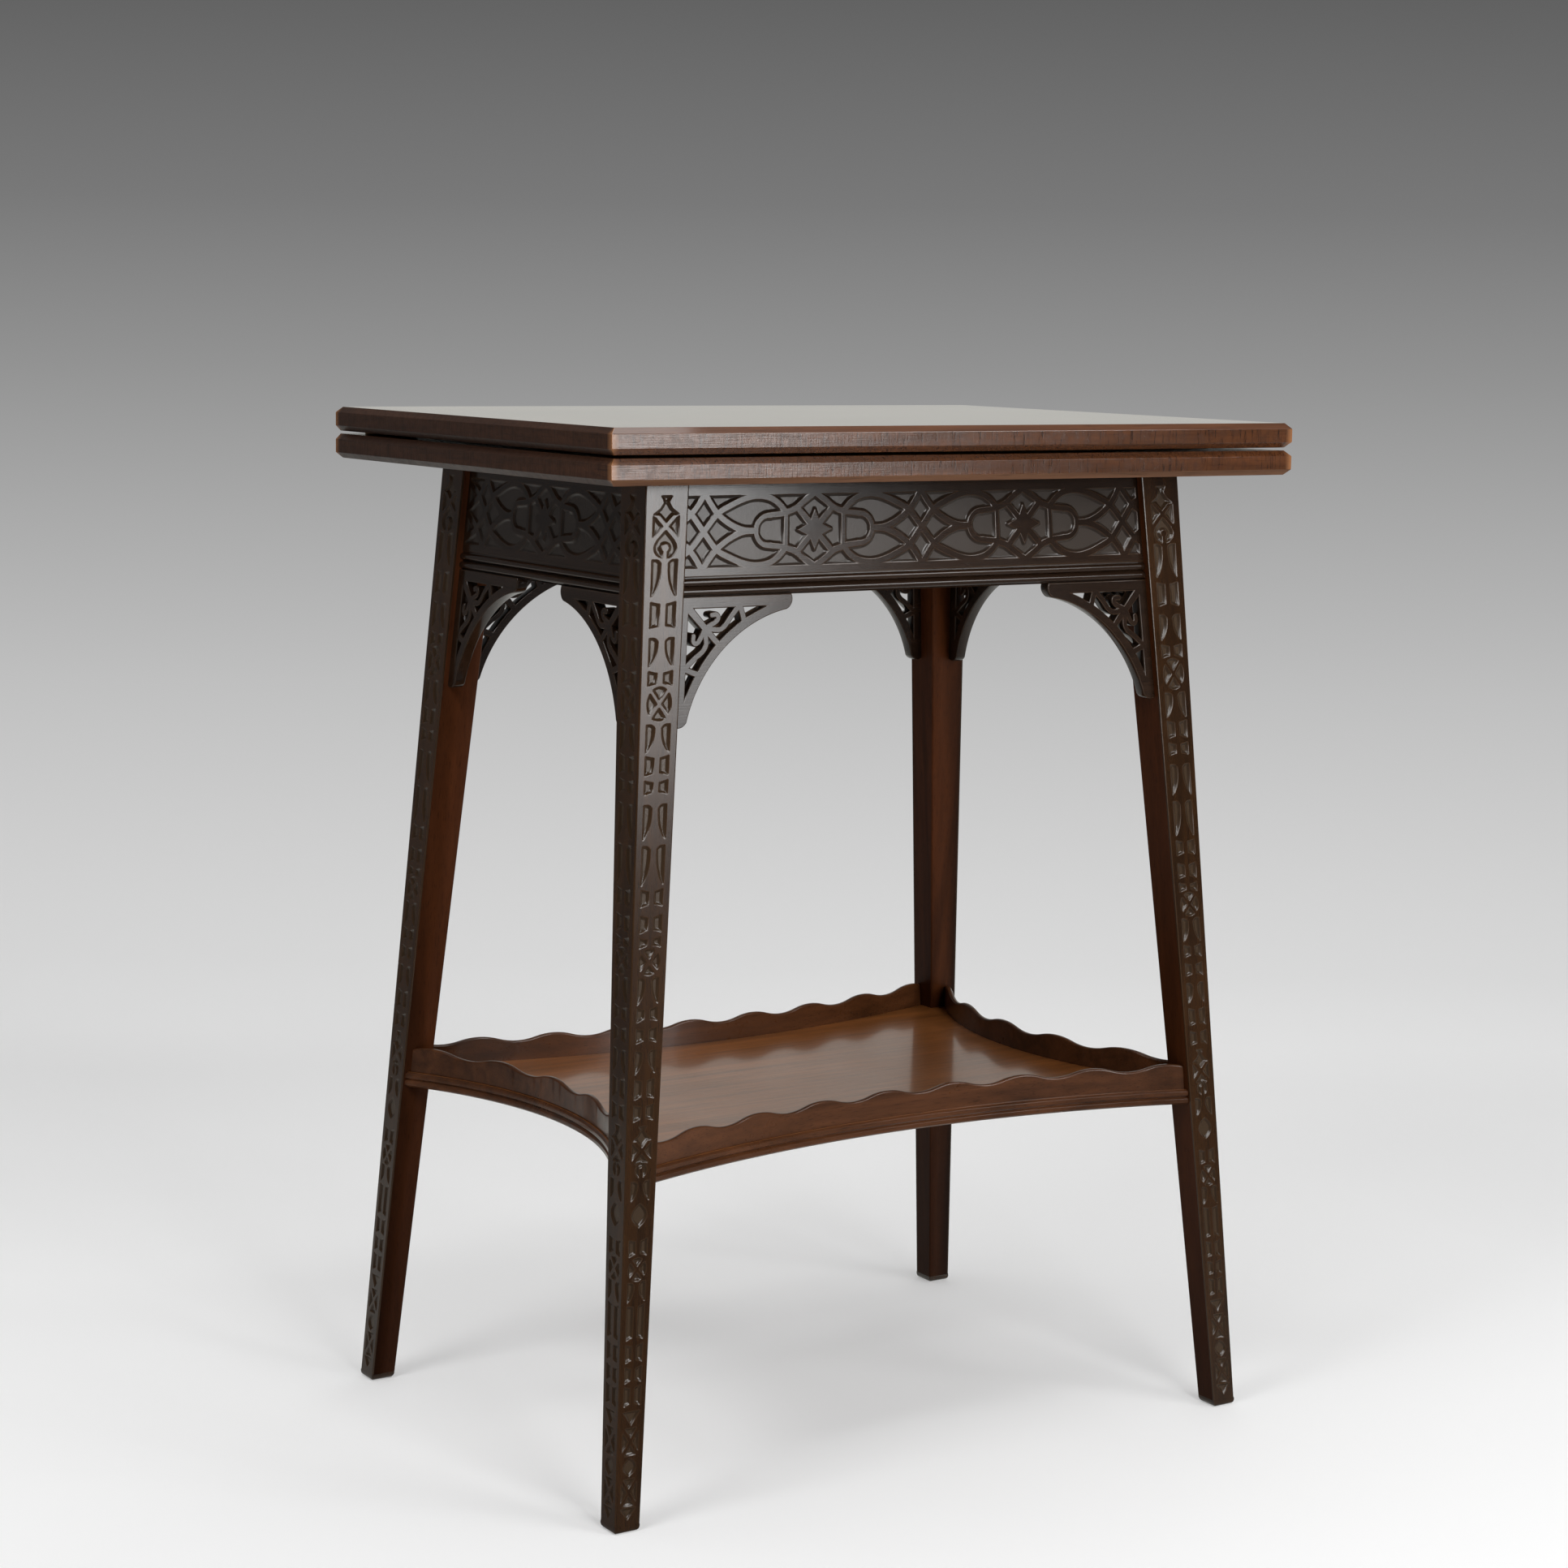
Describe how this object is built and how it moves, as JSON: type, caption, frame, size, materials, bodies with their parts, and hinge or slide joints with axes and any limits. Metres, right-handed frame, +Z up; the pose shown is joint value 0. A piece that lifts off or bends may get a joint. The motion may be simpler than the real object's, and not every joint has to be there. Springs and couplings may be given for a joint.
{
  "type": "fold-over game table",
  "caption": "Small square-legged game table with a swivelling fold-over top, fret-carved frieze and splayed legs, pierced corner brackets and a galleried shelf.",
  "frame": {"origin": "on the floor under the middle of the closed top", "axes": "+Z up, +X along the front long side, +Y towards the hinged back edge"},
  "size_m": [0.562, 0.4075, 0.73],
  "materials": {
    "carved_mahogany": "dark stained, carved, waxed, worn lighter on the raised edges",
    "top_mahogany": "dark stained, polished to a gloss, finely crazed on the edges",
    "shelf_mahogany": "reddish brown, polished",
    "secondary_wood": "plain sawn and planed, unpolished",
    "baize": "green wool baize",
    "hinge_brass": "aged brass",
    "pivot_iron": "blackened iron"
  },
  "bodies": {
    "frame": {"leg_front_left": "carved_mahogany", "leg_front_right": "carved_mahogany", "leg_back_left": "carved_mahogany", "leg_back_right": "carved_mahogany", "front_rail": "carved_mahogany", "back_rail": "carved_mahogany", "left_rail": "carved_mahogany", "right_rail": "carved_mahogany", "bracket_front_left": "carved_mahogany", "bracket_front_right": "carved_mahogany", "bracket_back_left": "carved_mahogany", "bracket_back_right": "carved_mahogany", "side_bracket_front_left": "carved_mahogany", "side_bracket_front_right": "carved_mahogany", "side_bracket_back_left": "carved_mahogany", "side_bracket_back_right": "carved_mahogany", "gallery_front": "shelf_mahogany", "gallery_back": "shelf_mahogany", "gallery_left": "shelf_mahogany", "gallery_right": "shelf_mahogany", "shelf": "shelf_mahogany", "shelf_dowels": "secondary_wood", "pivot_rail": "secondary_wood", "swivel_stop_peg": "secondary_wood", "well_board": "secondary_wood", "well_cleats": "secondary_wood"},
    "fixed_leaf": {"lower_leaf": "top_mahogany", "lower_baize": "baize", "lower_hinge_plate_left": "hinge_brass", "lower_hinge_plate_right": "hinge_brass", "hinge_pin_left": "hinge_brass", "hinge_pin_right": "hinge_brass", "lower_hinge_screws": "hinge_brass", "pivot_plate": "pivot_iron", "pivot_screws": "pivot_iron", "pivot_spindle": "pivot_iron", "pivot_washer": "pivot_iron", "pivot_nut": "pivot_iron"},
    "folding_leaf": {"upper_leaf": "top_mahogany", "upper_baize": "baize", "upper_hinge_plate_left": "hinge_brass", "upper_hinge_plate_right": "hinge_brass", "upper_hinge_screws": "hinge_brass"}
  },
  "joints": [
    {"name": "top_swivel", "type": "hinge", "parent": "frame", "child": "fixed_leaf", "pos_m": [0.10115, 0.10115, 0.693], "axis": [0, 0, 1], "range_deg": [0, 90]},
    {"name": "leaf_fold", "type": "hinge", "parent": "fixed_leaf", "child": "folding_leaf", "pos_m": [0, 0.2023, 0.7115], "axis": [-1, 0, 0], "range_deg": [0, 180]}
  ]
}
